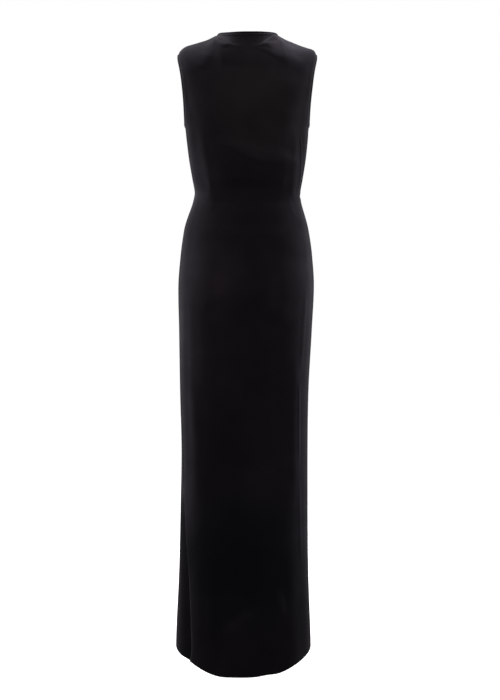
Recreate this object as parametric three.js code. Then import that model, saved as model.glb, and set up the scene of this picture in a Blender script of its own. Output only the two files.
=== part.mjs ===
// Sleeveless, high-necked maxi dress in near-black stretch velvet, filled out as it is worn.
// Millimetres. The front faces -Y, the wearer's left is +X and +Z is up. The origin lies between
// the two shoulder seams, where the wearer's shoulders hold the dress up.
//
// The body of the dress is one closed tube of sections, which the seams part into four pieces.
// A place on the tube is an angle round it (0 is centre back, 90 the wearer's left side, 180
// centre front, -90 the right side) and a height.

import * as THREE from 'three';

// Cloth and edges
const CLOTH = 2;
const SEAM_GAP = 0.3;
const BINDING_GAP = 0.7;
const BINDING_HEIGHT = 3.4;
const BINDING_THICKNESS = 3.8;
const BINDING_SIDES = 8;
const SHARPEST_MITRE = 0.8;

// Heights of the cut
const WAIST_Z = -358;
const UNDERARM_Z = -196;
const SHOULDER_TIP_Z = -22;
const SLIT_TOP_Z = -1045;
const SEAM_FOOT_Z = -1460;

// Neck edge: half widths from the middle to each shoulder, depths and heights. The sweep says how
// close to its corner the back edge stays level: more is closer.
const NECK = {
  leftHalf: 70.5,
  rightHalf: 73.5,
  backDepth: 61,
  frontDepth: 63,
  leftCornerZ: 25.5,
  rightCornerZ: 24.8,
  leftSweep: 3.2,
  rightSweep: 1.9,
  backZ: 17.5,
  frontZ: -8,
};
const SHOULDER_TIP_X = 165.5;

// How far the neck's rolled edge turns from the lie of the cloth towards upright
const NECK_UPRIGHT = 0.55;

// How far below the shoulder seam the cloth takes to turn from level to upright, and how round
// that turn is: 0.5 is a quarter circle, 1 is softer
const SHOULDER_TURN = 80;
const SHOULDER_ROUNDNESS = 0.5;

// How square the sections are: 1 is an ellipse, less is flatter across the middle
const BACK_FLATNESS = 0.86;
const FRONT_FLATNESS = 0.8;

// The slit: the front piece runs on under the back piece and lies a little inside it.
const SLIT_UNDERLAP = 14;
const SLIT_INSET = 4.6;
const SLIT_EASE = 44;

// Below the slit's top: by where the front piece lies inside, and where it runs under
const SLIT_INSET_BY = 50;
const SLIT_UNDERLAP_FROM = 100;
const SLIT_UNDERLAP_BY = 160;

// Sections of the tube: its middle's shift to the left, half width, depth behind and in front
const SECTIONS = [
  { z: 40, centre: 0, half: 200, back: 54, front: 50 },
  { z: -24, centre: -0.7, half: 192, back: 80, front: 68 },
  { z: -60, centre: -0.7, half: 178, back: 91, front: 81 },
  { z: -110, centre: -0.7, half: 167.5, back: 103, front: 95 },
  { z: -168, centre: 0, half: 154, back: 108, front: 110 },
  { z: -196, centre: 0, half: 148.6, back: 107, front: 117 },
  { z: -226, centre: -0.5, half: 145.8, back: 105, front: 124 },
  { z: -274, centre: -1, half: 140.2, back: 97, front: 123 },
  { z: -322, centre: -1.3, half: 132.3, back: 84, front: 107 },
  { z: -346, centre: -1.4, half: 127.8, back: 76, front: 99 },
  { z: -358, centre: -1.2, half: 127.2, back: 75, front: 98 },
  { z: -370, centre: -0.5, half: 128.8, back: 76, front: 98 },
  { z: -382, centre: 0, half: 131.5, back: 79, front: 99 },
  { z: -430, centre: 1.5, half: 146.5, back: 98, front: 104 },
  { z: -466, centre: 1.5, half: 153, back: 113, front: 107 },
  { z: -502, centre: 1.5, half: 157.5, back: 122, front: 109 },
  { z: -574, centre: 2, half: 162.5, back: 127, front: 110 },
  { z: -682, centre: 3.7, half: 159.1, back: 114, front: 107 },
  { z: -826, centre: 6.5, half: 154, back: 103, front: 103 },
  { z: -970, centre: 5.8, half: 151.2, back: 100, front: 102 },
  { z: -1114, centre: 6.9, half: 152.6, back: 101, front: 102 },
  { z: -1258, centre: 7.9, half: 155, back: 103, front: 104 },
  { z: -1402, centre: 8.7, half: 160.8, back: 107, front: 108 },
  { z: -1500, centre: 8.5, half: 163, back: 109, front: 110 },
];

// Armhole edge, seen from behind: how far out the cloth ends at each height
const ARMHOLE = [
  { z: -22, reach: 165.5 },
  { z: -40, reach: 163.8 },
  { z: -60, reach: 159.6 },
  { z: -85, reach: 155.4 },
  { z: -110, reach: 152.3 },
  { z: -140, reach: 149.7 },
  { z: -168, reach: 148.6 },
  { z: -196, reach: 148.6 },
];

// Shoulder seams: height along each, from the neck (0) to the outer end (1)
const SHOULDERS = [
  { along: 0, leftZ: 25.5, rightZ: 24.8 },
  { along: 0.08, leftZ: 22.1, rightZ: 20.3 },
  { along: 0.16, leftZ: 18, rightZ: 15.9 },
  { along: 0.26, leftZ: 13.4, rightZ: 11.6 },
  { along: 0.43, leftZ: 8.4, rightZ: 5.3 },
  { along: 0.6, leftZ: 3.7, rightZ: -0.9 },
  { along: 0.78, leftZ: -1.3, rightZ: -6.1 },
  { along: 0.87, leftZ: -6, rightZ: -8.4 },
  { along: 0.94, leftZ: -13, rightZ: -12.6 },
  { along: 1, leftZ: -22, rightZ: -22 },
];

// Left side seam of the skirt, which swings to the back and becomes the slit's edge
const LEFT_SEAM = [
  { z: -358, angle: 90 },
  { z: -700, angle: 85 },
  { z: -1045, angle: 72 },
  { z: -1176, angle: 63.5 },
  { z: -1281, angle: 55.5 },
  { z: -1401, angle: 49.5 },
  { z: -1440, angle: 49 },
  { z: -1470, angle: 52 },
];

// Hem: its height all round, lowest behind and a little higher in front than at the sides
const HEM = [
  { angle: -90, z: -1435 },
  { angle: -75, z: -1446 },
  { angle: -60, z: -1457.5 },
  { angle: -48, z: -1468.5 },
  { angle: -39, z: -1477.5 },
  { angle: -30, z: -1484 },
  { angle: -20, z: -1486.2 },
  { angle: -10, z: -1490 },
  { angle: 0, z: -1491 },
  { angle: 10, z: -1490.9 },
  { angle: 18, z: -1490.5 },
  { angle: 26, z: -1486.5 },
  { angle: 34, z: -1479.5 },
  { angle: 42, z: -1471 },
  { angle: 52, z: -1460 },
  { angle: 65, z: -1450.5 },
  { angle: 78, z: -1442 },
  { angle: 90, z: -1435 },
  { angle: 120, z: -1422 },
  { angle: 150, z: -1417 },
  { angle: 180, z: -1416 },
  { angle: 210, z: -1417 },
  { angle: 240, z: -1422 },
  { angle: 270, z: -1435 },
];

// Largest folds: soft ridges from one place on the tube to another, with the width on either
// side (to the wearer's right or below, to the left or above) and the height
const FOLDS = [
  { name: 'seat, left', angle: [24, 21], z: [-470, -650], widths: [34, 48], height: 4.5 },
  { name: 'seat, right', angle: [-27, -24], z: [-490, -690], widths: [48, 34], height: 4.5 },
  { name: 'back blouses', angle: [50, -74], z: [-238, -302], widths: [16, 70], height: 3 },
  { name: 'bodice side, left', angle: [50, 38], z: [-190, -410], widths: [16, 20], height: 1.6 },
  { name: 'bodice side, right', angle: [-50, -60], z: [-205, -400], widths: [14, 16], height: 1.6 },
  { name: 'skirt side, right', angle: [-52, -52], z: [-720, -1120], widths: [20, 20], height: 2.2 },
  { name: 'skirt side, left', angle: [50, 48], z: [-790, -1120], widths: [22, 22], height: 1.6 },
  { name: 'hem, right', angle: [-44, -50], z: [-1200, -1520], widths: [26, 26], height: 2.2 },
  { name: 'hem, middle', angle: [14, 6], z: [-1290, -1500], widths: [20, 20], height: 3 },
  { name: 'front hem, left', angle: [152, 146], z: [-1000, -1500], widths: [26, 26], height: 4 },
  { name: 'front hem, right', angle: [204, 212], z: [-1060, -1500], widths: [24, 28], height: 4 },
];
const FOLD_RADIUS = 140;
const FOLD_END = 0.28;

// How finely the pieces are divided
const NECK_STEPS = 6;
const SHOULDER_STEPS = 5;
const WAIST_TO_UNDERARM_ROWS = 7;
const ARMHOLE_ROWS = 10;
const SKIRT_COLUMNS = 20;
const SKIRT_ROWS = 30;
const SKIRT_ROW_GRADING = 1.3;

const velvet = { color: 0x15131a, roughness: 0.85, metalness: 0 };
const boundEdge = { color: 0x0d0b11, roughness: 0.7, metalness: 0 };

const { lerp, clamp, degToRad, radToDeg, smoothstep } = THREE.MathUtils;

// A smooth curve through one column of a table, level past both ends.
function curveOf(table, key, column) {
  const rows = [...table].sort((a, b) => a[key] - b[key]);
  const last = rows.length - 1;
  const slopes = rows.map((row, i) => {
    const before = rows[Math.max(i - 1, 0)];
    const after = rows[Math.min(i + 1, last)];
    return (after[column] - before[column]) / (after[key] - before[key]);
  });
  return (at) => {
    const place = clamp(at, rows[0][key], rows[last][key]);
    const i = Math.min(Math.max(rows.findIndex((row) => row[key] >= place) - 1, 0), last - 1);
    const span = rows[i + 1][key] - rows[i][key];
    const t = (place - rows[i][key]) / span;
    const start = rows[i][column];
    const end = rows[i + 1][column];
    return (
      start * (1 + 2 * t) * (1 - t) ** 2 +
      slopes[i] * span * t * (1 - t) ** 2 +
      end * t * t * (3 - 2 * t) +
      slopes[i + 1] * span * t * t * (t - 1)
    );
  };
}

const centreAt = curveOf(SECTIONS, 'z', 'centre');
const halfAt = curveOf(SECTIONS, 'z', 'half');
const backAt = curveOf(SECTIONS, 'z', 'back');
const frontAt = curveOf(SECTIONS, 'z', 'front');
const armholeReach = curveOf(ARMHOLE, 'z', 'reach');
const leftShoulderZ = curveOf(SHOULDERS, 'along', 'leftZ');
const rightShoulderZ = curveOf(SHOULDERS, 'along', 'rightZ');
const leftSeamAngle = curveOf(LEFT_SEAM, 'z', 'angle');
const hemZ = curveOf(HEM, 'angle', 'z');

// How far the folds lift the cloth at one place on the tube.
function foldLift(angle, z) {
  let lift = 0;
  for (const fold of FOLDS) {
    const turn = THREE.MathUtils.euclideanModulo(angle - fold.angle[0] + 180, 360) - 180;
    const across = degToRad(turn) * FOLD_RADIUS;
    const runX = degToRad(fold.angle[1] - fold.angle[0]) * FOLD_RADIUS;
    const runZ = fold.z[1] - fold.z[0];
    const length = Math.hypot(runX, runZ);
    const along = (across * runX + (z - fold.z[0]) * runZ) / (length * length);
    const aside = ((z - fold.z[0]) * runX - across * runZ) / length;
    const width = aside < 0 ? fold.widths[0] : fold.widths[1];
    const ends = smoothstep(along, 0, FOLD_END) * (1 - smoothstep(along, 1 - FOLD_END, 1));
    lift += fold.height * ends * Math.exp(-((aside / width) ** 2));
  }
  return lift;
}

// A place on the tube. inset moves it in, square to the section.
function tubePoint(angle, z, inset = 0) {
  const turn = degToRad(angle);
  const behind = Math.cos(turn) >= 0;
  const half = halfAt(z);
  const depth = behind ? backAt(z) : frontAt(z);
  const flatness = behind ? BACK_FLATNESS : FRONT_FLATNESS;
  const out = new THREE.Vector2(Math.sin(turn) / half, Math.cos(turn) / depth).normalize();
  const move = foldLift(angle, z) - inset;
  return new THREE.Vector3(
    centreAt(z) + half * Math.sin(turn) + move * out.x,
    Math.sign(Math.cos(turn)) * depth * Math.abs(Math.cos(turn)) ** flatness + move * out.y,
    z,
  );
}

// One closed wall from rows of outer points and the outward direction at each.
function wallGeometry(points, outward) {
  const rows = points.length;
  const columns = points[0].length;
  const inner = points.map((row, j) =>
    row.map((p, i) => p.clone().addScaledVector(outward[j][i], -CLOTH)),
  );
  const positions = [...points.flat(), ...inner.flat()].flatMap((p) => p.toArray());
  const outerIndex = (j, i) => j * columns + i;
  const innerIndex = (j, i) => rows * columns + outerIndex(j, i);
  const indices = [];
  const quad = (a, b, c, d) => indices.push(a, b, c, a, c, d);
  for (let j = 0; j + 1 < rows; j += 1) {
    for (let i = 0; i + 1 < columns; i += 1) {
      quad(outerIndex(j, i), outerIndex(j, i + 1), outerIndex(j + 1, i + 1), outerIndex(j + 1, i));
      quad(innerIndex(j, i), innerIndex(j + 1, i), innerIndex(j + 1, i + 1), innerIndex(j, i + 1));
    }
    const end = columns - 1;
    quad(outerIndex(j, 0), outerIndex(j + 1, 0), innerIndex(j + 1, 0), innerIndex(j, 0));
    quad(outerIndex(j, end), innerIndex(j, end), innerIndex(j + 1, end), outerIndex(j + 1, end));
  }
  for (let i = 0; i + 1 < columns; i += 1) {
    const end = rows - 1;
    quad(outerIndex(0, i), innerIndex(0, i), innerIndex(0, i + 1), outerIndex(0, i + 1));
    quad(outerIndex(end, i), outerIndex(end, i + 1), innerIndex(end, i + 1), innerIndex(end, i));
  }
  return closedGeometry(positions, indices);
}

// A geometry whose faces point out, whichever way round its rows were given.
function closedGeometry(positions, indices) {
  const at = (k) => new THREE.Vector3().fromArray(positions, indices[k] * 3);
  let volume = 0;
  for (let k = 0; k < indices.length; k += 3) {
    volume += at(k).dot(at(k + 1).cross(at(k + 2)));
  }
  const facing = volume > 0 ? indices : [...indices].reverse();
  const geometry = new THREE.BufferGeometry();
  geometry.setAttribute('position', new THREE.Float32BufferAttribute(positions, 3));
  geometry.setIndex(facing);
  geometry.computeVertexNormals();
  return geometry;
}

// The top of a bodice piece at one column: which edge it ends on and where.
function bodiceTop(side, step, isBack) {
  const neckHalf = side > 0 ? NECK.leftHalf : NECK.rightHalf;
  const cornerZ = side > 0 ? NECK.leftCornerZ : NECK.rightCornerZ;
  const sweep = side > 0 ? NECK.leftSweep : NECK.rightSweep;
  if (step <= NECK_STEPS) {
    const turn = (Math.PI / 2) * (step / NECK_STEPS);
    const z = isBack
      ? lerp(NECK.backZ, cornerZ, Math.sin(turn) ** sweep)
      : lerp(cornerZ, NECK.frontZ, Math.cos(turn));
    const depth = (isBack ? NECK.backDepth : NECK.frontDepth) * Math.cos(turn);
    return { x: neckHalf * Math.sin(turn), depth: step < NECK_STEPS ? depth : 0, z };
  }
  const along = (step - NECK_STEPS) / SHOULDER_STEPS;
  const z = side > 0 ? leftShoulderZ(along) : rightShoulderZ(along);
  return { x: lerp(neckHalf, SHOULDER_TIP_X, along), depth: 0, z };
}

// Heights of the rows along the side edge: even to the underarm, then close at both ends of the
// armhole, where it turns.
function bodiceRowHeights() {
  const heights = [];
  for (let j = 0; j < WAIST_TO_UNDERARM_ROWS; j += 1) {
    heights.push(lerp(WAIST_Z, UNDERARM_Z, j / WAIST_TO_UNDERARM_ROWS));
  }
  for (let j = 0; j <= ARMHOLE_ROWS; j += 1) {
    const share = (1 - Math.cos((Math.PI * j) / ARMHOLE_ROWS)) / 2;
    heights.push(lerp(UNDERARM_Z, SHOULDER_TIP_Z, share));
  }
  return heights;
}

function edgeReach(z) {
  return z <= UNDERARM_Z ? halfAt(z) : armholeReach(z);
}

// A bodice piece from the waist to the neck and shoulder seams, and from edge to edge.
function bodicePanel(isBack) {
  const steps = NECK_STEPS + SHOULDER_STEPS;
  const facing = isBack ? 1 : -1;
  const points = bodiceRowHeights().map((edgeZ) => {
    const rise = (edgeZ - WAIST_Z) / (SHOULDER_TIP_Z - WAIST_Z);
    const row = [];
    for (let i = -steps; i <= steps; i += 1) {
      const side = Math.sign(i) || 1;
      const step = Math.abs(i);
      const top = bodiceTop(side, step, isBack);
      const z = lerp(WAIST_Z, top.z, rise);
      const low = Math.sin((Math.PI / 2) * (step / steps));
      const share = lerp(low, top.x / SHOULDER_TIP_X, rise * rise);
      const reach = share * edgeReach(z);
      const sine = clamp(reach / halfAt(z), 0, 1);
      const angle = isBack ? radToDeg(Math.asin(sine)) : 180 - radToDeg(Math.asin(sine));
      const place = tubePoint(side * angle, z);
      const turned = clamp((top.z - z) / SHOULDER_TURN, 0, 1);
      const neckness = clamp(1 - top.x / NECK.leftHalf, 0, 1);
      const bend = (1 - (1 - turned) ** 2) ** lerp(SHOULDER_ROUNDNESS, 1, neckness);
      const depth = lerp(top.depth, Math.abs(place.y), bend);
      row.push(new THREE.Vector3(place.x, facing * depth, z));
    }
    return row;
  });
  const outward = bodiceNormals(points, facing);
  pullBackBodiceSeams(points, facing);
  return { points, outward };
}

// Outward directions of a bodice piece. At the side and shoulder seams they lie square to the
// seam, and at the waist they are level, so that both pieces at a seam end face to face.
function bodiceNormals(points, facing) {
  const lastRow = points.length - 1;
  const lastColumn = points[0].length - 1;
  return points.map((row, j) =>
    row.map((p, i) => {
      const along = points[j][Math.min(i + 1, lastColumn)].clone();
      along.sub(points[j][Math.max(i - 1, 0)]);
      const up = points[Math.min(j + 1, lastRow)][i].clone();
      up.sub(points[Math.max(j - 1, 0)][i]);
      const normal = up.cross(along).multiplyScalar(facing);
      if (onSideSeam(i, j, lastColumn) || onShoulderSeam(i, j, lastRow, lastColumn)) {
        normal.y = 0;
      }
      if (j === 0) {
        normal.z = 0;
      }
      return normal.normalize();
    }),
  );
}

function onSideSeam(i, j, lastColumn) {
  return (i === 0 || i === lastColumn) && j <= WAIST_TO_UNDERARM_ROWS;
}

function onShoulderSeam(i, j, lastRow, lastColumn) {
  const fromEdge = Math.min(i, lastColumn - i);
  return j === lastRow && fromEdge <= SHOULDER_STEPS;
}

function pullBackBodiceSeams(points, facing) {
  const lastRow = points.length - 1;
  const lastColumn = points[0].length - 1;
  points.forEach((row, j) =>
    row.forEach((p, i) => {
      if (onSideSeam(i, j, lastColumn) || onShoulderSeam(i, j, lastRow, lastColumn)) {
        p.y = (facing * SEAM_GAP) / 2;
      }
      if (j === 0) {
        p.z += SEAM_GAP / 2;
      }
    }),
  );
}

// How far the front piece lies inside the back piece near the slit.
function slitInset(angle, z) {
  const open = smoothstep(SLIT_TOP_Z - z, 0, SLIT_INSET_BY);
  const past = degToRad(angle - leftSeamAngle(z)) * FOLD_RADIUS;
  return SLIT_INSET * open * (1 - smoothstep(past, 0, SLIT_EASE));
}

// A skirt piece from the waist to the hem, between the angles of its two edges.
function skirtPanel(isBack) {
  const points = [];
  const outward = [];
  const skirtTop = WAIST_Z - SEAM_GAP / 2;
  const seamHem = hemZ(leftSeamAngle(SEAM_FOOT_Z));
  for (let j = 0; j <= SKIRT_ROWS; j += 1) {
    const fall = (j / SKIRT_ROWS) ** SKIRT_ROW_GRADING;
    const seamAngle = leftSeamAngle(lerp(skirtTop, seamHem, fall));
    const underlap = isBack ? 0 : underlapAngle(lerp(skirtTop, seamHem, fall));
    const row = [];
    const rowOut = [];
    for (let i = 0; i <= SKIRT_COLUMNS; i += 1) {
      const share = i / SKIRT_COLUMNS;
      const from = isBack ? -90 : seamAngle - underlap;
      const to = isBack ? seamAngle : 270;
      const gapAngle = radToDeg(SEAM_GAP / 2 / FOLD_RADIUS);
      const angle = lerp(from, to, share) + (i === 0 ? gapAngle : 0) - (share === 1 ? gapAngle : 0);
      const z = lerp(skirtTop, hemZ(angle), fall);
      const insetAt = (a, height) => (isBack ? 0 : slitInset(a, height));
      const surface = (a, height) => tubePoint(a, height, insetAt(a, height));
      const round = surface(angle + 1, z).sub(surface(angle - 1, z));
      const down = surface(angle, z - 1).sub(surface(angle, z + 1));
      const normal = down.cross(round);
      if (j === 0) {
        normal.z = 0;
      }
      row.push(surface(angle, z));
      rowOut.push(normal.normalize());
    }
    points.push(row);
    outward.push(rowOut);
  }
  return { points, outward };
}

function underlapAngle(z) {
  const share = smoothstep(SLIT_TOP_Z - z, SLIT_UNDERLAP_FROM, SLIT_UNDERLAP_BY);
  return radToDeg(SLIT_UNDERLAP / FOLD_RADIUS) * share;
}

// A rolled edge that follows a closed line of edge points, standing off the cloth's cut edge.
function bindingGeometry(edge, awayFrom) {
  const count = edge.length;
  const positions = [];
  const indices = [];
  edge.forEach(({ point, out }, k) => {
    const before = edge[(k + count - 1) % count].point;
    const after = edge[(k + 1) % count].point;
    const arriving = point.clone().sub(before).normalize();
    const leaving = after.clone().sub(point).normalize();
    const tangent = arriving.clone().add(leaving).normalize();
    const off = tangent.clone().cross(out).normalize();
    if (off.dot(point.clone().sub(awayFrom(point))) < 0) {
      off.negate();
    }
    const mitre = 1 / Math.max(tangent.dot(leaving), SHARPEST_MITRE);
    const middle = point.clone().addScaledVector(out, -CLOTH / 2);
    middle.addScaledVector(off, (BINDING_GAP + BINDING_HEIGHT / 2) * mitre);
    for (let s = 0; s < BINDING_SIDES; s += 1) {
      const turn = (2 * Math.PI * s) / BINDING_SIDES;
      const vertex = middle.clone();
      vertex.addScaledVector(off, (BINDING_HEIGHT / 2) * Math.cos(turn));
      vertex.addScaledVector(out, (BINDING_THICKNESS / 2) * Math.sin(turn));
      positions.push(...vertex.toArray());
      const next = ((k + 1) % count) * BINDING_SIDES;
      const here = k * BINDING_SIDES;
      const t = (s + 1) % BINDING_SIDES;
      indices.push(here + s, next + s, next + t, here + s, next + t, here + t);
    }
  });
  return closedGeometry(positions, indices);
}

// An outward direction at the neck edge, turned so that the rolled edge stands more upright.
function neckOut(out, point) {
  const level = new THREE.Vector3(point.x / NECK.leftHalf ** 2, point.y / NECK.backDepth ** 2, 0);
  return out.clone().lerp(level.normalize(), NECK_UPRIGHT).normalize();
}

// The neck edge, once round: along the back piece and home along the front piece.
function neckEdge(back, front) {
  const lastRow = back.points.length - 1;
  const first = SHOULDER_STEPS;
  const last = first + 2 * NECK_STEPS;
  const edge = [];
  for (let i = first; i <= last; i += 1) {
    const point = back.points[lastRow][i].clone();
    edge.push({ point, out: neckOut(back.outward[lastRow][i], point) });
  }
  for (let i = last - 1; i > first; i -= 1) {
    const point = front.points[lastRow][i].clone();
    edge.push({ point, out: neckOut(front.outward[lastRow][i], point) });
  }
  edge[0].point.y = 0;
  edge[last - first].point.y = 0;
  return edge;
}

// One armhole's edge, once round: up the back piece and down the front piece.
function armholeEdge(back, front, column) {
  const lastRow = back.points.length - 1;
  const edge = [];
  for (let j = WAIST_TO_UNDERARM_ROWS; j <= lastRow; j += 1) {
    edge.push({ point: back.points[j][column].clone(), out: back.outward[j][column] });
  }
  for (let j = lastRow - 1; j > WAIST_TO_UNDERARM_ROWS; j -= 1) {
    edge.push({ point: front.points[j][column].clone(), out: front.outward[j][column] });
  }
  edge[0].point.y = 0;
  edge[lastRow - WAIST_TO_UNDERARM_ROWS].point.y = 0;
  return edge;
}

function piece(name, geometry, finish) {
  const mesh = new THREE.Mesh(geometry, new THREE.MeshStandardMaterial(finish));
  mesh.name = name;
  return mesh;
}

const backBodice = bodicePanel(true);
const frontBodice = bodicePanel(false);
const backSkirt = skirtPanel(true);
const frontSkirt = skirtPanel(false);

// The bindings stand off the cloth towards the open air: up round the neck, and towards the
// middle of the armhole.
const belowNeck = (point) =>
  new THREE.Vector3(2 * point.x, 2 * point.y, point.z - NECK.backDepth);
const acrossArmhole = (point) => {
  const middleZ = (UNDERARM_Z + SHOULDER_TIP_Z) / 2;
  return new THREE.Vector3(point.x, 2 * point.y, 2 * point.z - middleZ);
};

const dress = new THREE.Group();
for (const [name, panel] of Object.entries({
  back_bodice: backBodice,
  front_bodice: frontBodice,
  back_skirt: backSkirt,
  front_skirt: frontSkirt,
})) {
  dress.add(piece(name, wallGeometry(panel.points, panel.outward), velvet));
}
const neck = bindingGeometry(neckEdge(backBodice, frontBodice), belowNeck);
dress.add(piece('neck_binding', neck, boundEdge));
const lastColumn = backBodice.points[0].length - 1;
for (const [name, column] of Object.entries({
  left_armhole_binding: lastColumn,
  right_armhole_binding: 0,
})) {
  const edge = armholeEdge(backBodice, frontBodice, column);
  dress.add(piece(name, bindingGeometry(edge, acrossArmhole), boundEdge));
}

export default dress;
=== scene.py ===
# %% [markdown]
# # A floor-length dress in near-black velvet
#
# The dress is sleeveless, with a high round neck, a seam at the waist and a slit low in the left
# side seam. It is stretch velvet, so it has no fastening: it goes on over the head. It is shown
# filled out as it is worn, and seen from behind.
#
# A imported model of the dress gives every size. It is loaded first and never moved, and each piece
# of cloth that is made here lies on one of its plain walls and stands in for it. The front faces
# -Y and the wearer's left is +X. Sizes are in millimetres, and become metres only when a mesh is
# made of them.

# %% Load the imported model
import math

import bpy
import numpy as np
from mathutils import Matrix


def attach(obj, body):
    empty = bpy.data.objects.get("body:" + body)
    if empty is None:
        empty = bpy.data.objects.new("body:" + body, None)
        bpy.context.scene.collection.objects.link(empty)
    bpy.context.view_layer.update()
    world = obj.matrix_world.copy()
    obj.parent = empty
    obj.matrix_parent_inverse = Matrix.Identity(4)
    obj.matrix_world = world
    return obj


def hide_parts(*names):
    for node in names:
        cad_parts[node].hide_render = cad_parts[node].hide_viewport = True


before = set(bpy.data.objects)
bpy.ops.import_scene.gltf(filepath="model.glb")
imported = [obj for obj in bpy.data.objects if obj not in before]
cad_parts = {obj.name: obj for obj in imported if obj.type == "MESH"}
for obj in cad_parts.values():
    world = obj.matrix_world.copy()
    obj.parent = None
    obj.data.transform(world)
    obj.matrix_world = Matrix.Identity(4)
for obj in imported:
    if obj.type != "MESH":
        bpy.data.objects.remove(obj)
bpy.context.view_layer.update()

MM = 0.001
print("packed model, nodes:", sorted(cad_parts))

# %% [markdown]
# ## The camera
#
# The camera comes first, because every fold is judged through it. A long dress is photographed
# from some way off, level with its middle, so that neither end looks larger. A camera behind it
# looks along -Y.

# %% Camera
CAMERA_DISTANCE = 3.3
CAMERA_X = -7.2 * MM
CAMERA_Z = -729.6 * MM
VIEW_HEIGHT = 1.68  # how much of the dress's own plane a tall picture takes in

camera = bpy.data.objects.new("camera", bpy.data.cameras.new("camera"))
camera.data.lens = camera.data.sensor_width * CAMERA_DISTANCE / VIEW_HEIGHT
camera.location = (CAMERA_X, CAMERA_DISTANCE, CAMERA_Z)
camera.rotation_euler = (math.pi / 2, 0, math.pi)
bpy.context.scene.collection.objects.link(camera)
bpy.context.scene.camera = camera
print(f"lens {camera.data.lens:.1f} mm at {CAMERA_DISTANCE} m")

# %% [markdown]
# ## The body of the dress as a tube
#
# Dressmakers drape on a figure; here the figure is a stack of sections. Each row of the table is
# one height with the half width of the dress there, its depth behind and its depth in front. A
# smooth curve through every column turns the stack into one continuous tube. All the pieces of
# cloth are patches of this tube, which is why they meet at their seams.
#
# A place on the tube is an angle round it and a height: 0 degrees is the centre of the back, 90
# the left side, 180 the centre of the front, and -90 the right side.

# %% Sections of the tube
WAIST_Z, HIP_Z = -358, -574

# height, shift of the middle to the left, half width, depth behind, depth in front (mm)
SECTIONS = [
    (40, 0, 200, 54, 50),
    (-24, -0.7, 192, 80, 68),
    (-60, -0.7, 178, 91, 81),
    (-110, -0.7, 167.5, 103, 95),
    (-168, 0, 154, 108, 110),
    (-196, 0, 148.6, 107, 117),
    (-226, -0.5, 145.8, 105, 124),
    (-274, -1, 140.2, 97, 123),
    (-322, -1.3, 132.3, 84, 107),
    (-346, -1.4, 127.8, 76, 99),
    (-358, -1.2, 127.2, 75, 98),
    (-370, -0.5, 128.8, 76, 98),
    (-382, 0, 131.5, 79, 99),
    (-430, 1.5, 146.5, 98, 104),
    (-466, 1.5, 153, 113, 107),
    (-502, 1.5, 157.5, 122, 109),
    (-574, 2, 162.5, 127, 110),
    (-682, 3.7, 159.1, 114, 107),
    (-826, 6.5, 154, 103, 103),
    (-970, 5.8, 151.2, 100, 102),
    (-1114, 6.9, 152.6, 101, 102),
    (-1258, 7.9, 155, 103, 104),
    (-1402, 8.7, 160.8, 107, 108),
    (-1500, 8.5, 163, 109, 110),
]
# how square a section is: 1 is an ellipse, and less is flatter across the middle
BACK_FLATNESS, FRONT_FLATNESS = 0.86, 0.8
print(len(SECTIONS), "sections, from", SECTIONS[0][0], "down to", SECTIONS[-1][0], "mm")


# %% A smooth curve through a table
def smooth_curve(table, column):
    """A smooth curve through one column of a table whose first column is the place."""
    rows = sorted(table)
    at = np.array([row[0] for row in rows], float)
    value = np.array([row[column] for row in rows], float)
    here = np.arange(len(rows))
    before, after = np.maximum(here - 1, 0), np.minimum(here + 1, len(rows) - 1)
    slope = (value[after] - value[before]) / (at[after] - at[before])

    def curve(place):
        place = np.clip(place, at[0], at[-1])
        i = np.clip(np.searchsorted(at, place) - 1, 0, len(at) - 2)
        span = at[i + 1] - at[i]
        t = (place - at[i]) / span
        return (
            value[i] * (1 + 2 * t) * (1 - t) ** 2
            + slope[i] * span * t * (1 - t) ** 2
            + value[i + 1] * t * t * (3 - 2 * t)
            + slope[i + 1] * span * t * t * (t - 1)
        )

    return curve


centre_at, half_at, back_at, front_at = (smooth_curve(SECTIONS, c) for c in (1, 2, 3, 4))
for place, z in {"hip": HIP_Z, "waist": WAIST_Z}.items():
    print(place, "half width", round(float(half_at(z)), 1), "mm")

# %% [markdown]
# ## Folds and creases
#
# Even a close dress isn't smooth. It swells over the seat, it blouses a little above the waist,
# and the skirt hangs in long soft ridges. Each fold here is a soft ridge or trough laid from one
# place to another: where it starts and ends round the tube and in height, how wide it is on either
# side, and how high. No two have the same length, width or height, as in real cloth.
# The same function serves the large folds and the fine creases.

# %% Laying a fold
FOLD_RADIUS = 140  # turns an angle round the tube into a distance over the cloth (mm)
FOLD_END = 0.28  # share of its length in which a fold rises at one end and sinks at the other


def smooth(value, low, high):
    """A smooth rise from 0 at low to 1 at high."""
    t = np.clip((value - low) / (high - low), 0, 1)
    return t * t * (3 - 2 * t)


def fold_lift(folds, angle, z, end=FOLD_END):
    """How far a list of folds lifts the cloth, in mm, at an angle round the tube and a height."""
    lift = np.zeros(np.broadcast(angle, z).shape)
    for (from_angle, to_angle), (from_z, to_z), (low_width, high_width), height in folds:
        turn = (angle - from_angle + 180) % 360 - 180
        across = np.radians(turn) * FOLD_RADIUS
        run_x = math.radians(to_angle - from_angle) * FOLD_RADIUS
        run_z = to_z - from_z
        length = math.hypot(run_x, run_z)
        along = (across * run_x + (z - from_z) * run_z) / length**2
        aside = ((z - from_z) * run_x - across * run_z) / length
        width = np.where(aside < 0, low_width, high_width)
        ends = smooth(along, 0, end) * (1 - smooth(along, 1 - end, 1))
        lift = lift + height * ends * np.exp(-((aside / width) ** 2))
    return lift


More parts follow.
